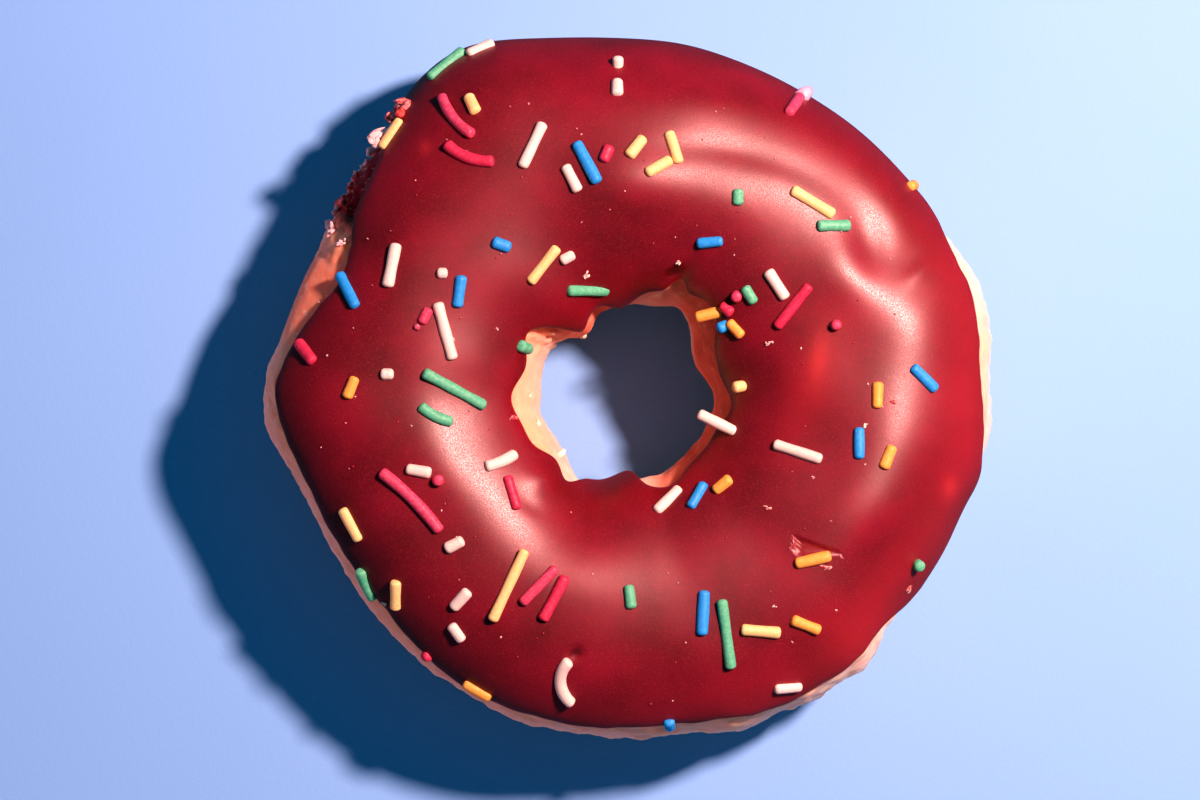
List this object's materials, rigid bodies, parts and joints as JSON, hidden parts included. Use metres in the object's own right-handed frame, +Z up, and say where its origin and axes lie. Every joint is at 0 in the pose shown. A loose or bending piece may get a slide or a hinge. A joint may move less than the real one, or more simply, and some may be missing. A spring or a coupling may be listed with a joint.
{
  "type": "chocolate iced ring doughnut",
  "caption": "Round fried dough ring with a hole, a poured dark chocolate icing cap that drips unevenly down its sides, and short coloured sugar sprinkles stuck in the icing.",
  "frame": {"origin": "on the surface it rests on, under the middle of its outline", "axes": "+Z up through the hole, +X along its longest reach across, so that the flattened and torn side is at -X +Y"},
  "size_m": [0.0896, 0.0862, 0.0345],
  "materials": {
    "dough": "matte",
    "icing": "satin",
    "sprinkle_white": "satin",
    "sprinkle_yellow": "satin",
    "sprinkle_orange": "satin",
    "sprinkle_pink": "satin",
    "sprinkle_red": "satin",
    "sprinkle_blue": "satin",
    "sprinkle_green": "satin"
  },
  "bodies": {
    "root": {"dough_ring": "dough", "chocolate_icing": "icing"}
  },
  "joints": []
}
